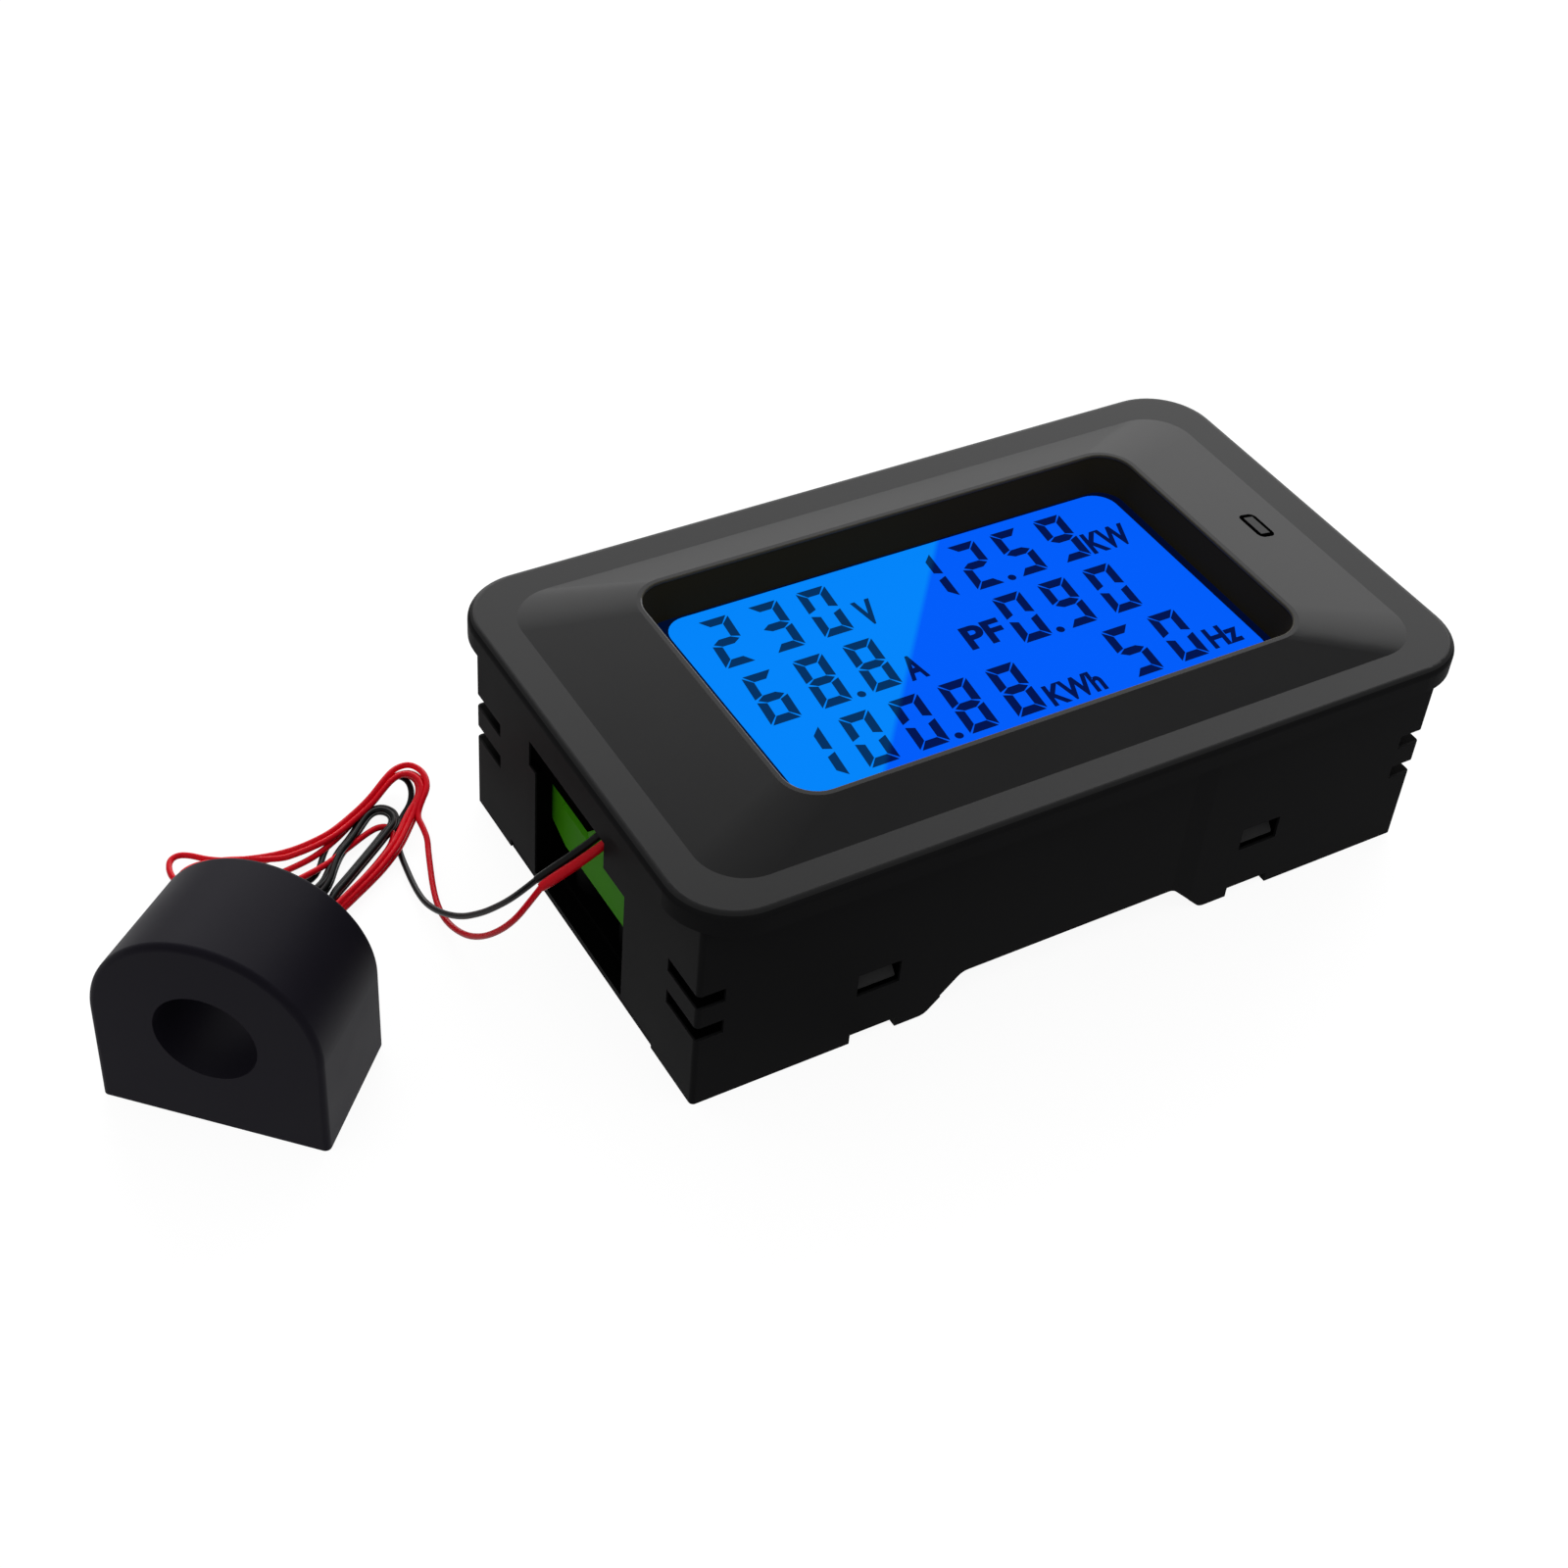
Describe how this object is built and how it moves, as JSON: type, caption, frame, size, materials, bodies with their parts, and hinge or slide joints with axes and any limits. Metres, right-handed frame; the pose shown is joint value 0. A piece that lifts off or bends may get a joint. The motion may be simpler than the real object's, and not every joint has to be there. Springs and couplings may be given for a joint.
{
  "type": "panel power meter",
  "caption": "Flush-mounted digital power meter with a sloping front frame, backlit display, set button, screw terminals and a ring current transformer on two thin leads",
  "frame": {"origin": "centre of the panel cut-out, in the plane where the front frame seats on the panel", "axes": "+X along the display to its right end, +Y up the display, +Z out of the display towards the reader"},
  "size_m": [0.1357, 0.056, 0.0281],
  "materials": {
    "board_green": "glossy solder mask",
    "can_steel": "bright",
    "capacitor_sleeve": "glossy",
    "capacitor_yellow": "satin",
    "chip_black": "matt",
    "copper_wire": "enamelled",
    "cover_black": "matt",
    "ct_case": "satin",
    "ct_steel": "laminated strip",
    "display_glass": "glossy, blue when lit",
    "guide_clear": "clear",
    "housing_black": "satin, fine moulded texture",
    "key_black": "satin",
    "plated_steel": "bright",
    "polariser": "glossy",
    "resin": "cast",
    "resistor_body": "satin",
    "terminal_green": "satin",
    "tinned_brass": "tinned",
    "tray_white": "matt",
    "varistor_blue": "satin",
    "wire_black": "glossy",
    "wire_red": "glossy"
  },
  "bodies": {
    "meter": {"front_housing": "housing_black", "rear_cover": "cover_black", "switch_body": "chip_black", "switch_legs": "tinned_brass", "front_polariser": "polariser", "lcd_front_glass": "display_glass", "lcd_rear_glass": "display_glass", "light_guide": "guide_clear", "light_strip": "tray_white", "backlight_tray": "tray_white", "display_pins": "tinned_brass", "main_board": "board_green", "board_screws": "plated_steel", "terminal_block": "terminal_green", "terminal_pins": "tinned_brass", "metering_chip": "chip_black", "display_driver": "chip_black", "memory_chip": "chip_black", "crystal": "can_steel", "supply_capacitor": "capacitor_yellow", "smoothing_capacitors": "capacitor_sleeve", "varistor": "varistor_blue", "fuse_resistor": "resistor_body", "bridge_rectifier": "chip_black", "voltage_regulator": "chip_black", "burden_resistors": "chip_black", "divider_resistors": "chip_black", "ct_housing": "ct_case", "ct_core": "ct_steel", "ct_winding": "copper_wire", "ct_potting": "resin", "red_sleeve": "wire_red", "black_sleeve": "wire_black", "red_lead": "wire_red", "black_lead": "wire_black", "red_hank": "wire_red", "black_hank": "wire_black", "red_tail": "wire_red", "black_tail": "wire_black"},
    "button": {"set_button": "key_black", "switch_stem": "key_black", "switch_dome": "plated_steel"},
    "clamp_screw_1": {"terminal_screw_1": "plated_steel"},
    "clamp_screw_2": {"terminal_screw_2": "plated_steel"},
    "clamp_cage_1": {"terminal_cage_1": "plated_steel"},
    "clamp_cage_2": {"terminal_cage_2": "plated_steel"}
  },
  "joints": [
    {"name": "set_button_press", "type": "slide", "parent": "meter", "child": "button", "axis": [0, 0, -1], "range_m": [0, 0.00035], "stiffness_N_per_m": 5000},
    {"name": "clamp_cage_1_travel", "type": "slide", "parent": "meter", "child": "clamp_cage_1", "axis": [0, 0, -1], "range_m": [0, 0.0016]},
    {"name": "clamp_screw_1_turn", "type": "hinge", "parent": "meter", "child": "clamp_screw_1", "pos_m": [-0.03695, 0.00525, -0.016], "axis": [0, 0, 1], "range_deg": [0, 1153]},
    {"name": "clamp_cage_2_travel", "type": "slide", "parent": "meter", "child": "clamp_cage_2", "axis": [0, 0, -1], "range_m": [0, 0.0016]},
    {"name": "clamp_screw_2_turn", "type": "hinge", "parent": "meter", "child": "clamp_screw_2", "pos_m": [-0.03695, -0.00425, -0.016], "axis": [0, 0, 1], "range_deg": [0, 1153]}
  ],
  "couplings": [
    {"joint": "clamp_screw_1_turn", "follows": "clamp_cage_1_travel", "rad_per_m": 12566},
    {"joint": "clamp_screw_2_turn", "follows": "clamp_cage_2_travel", "rad_per_m": 12566}
  ]
}
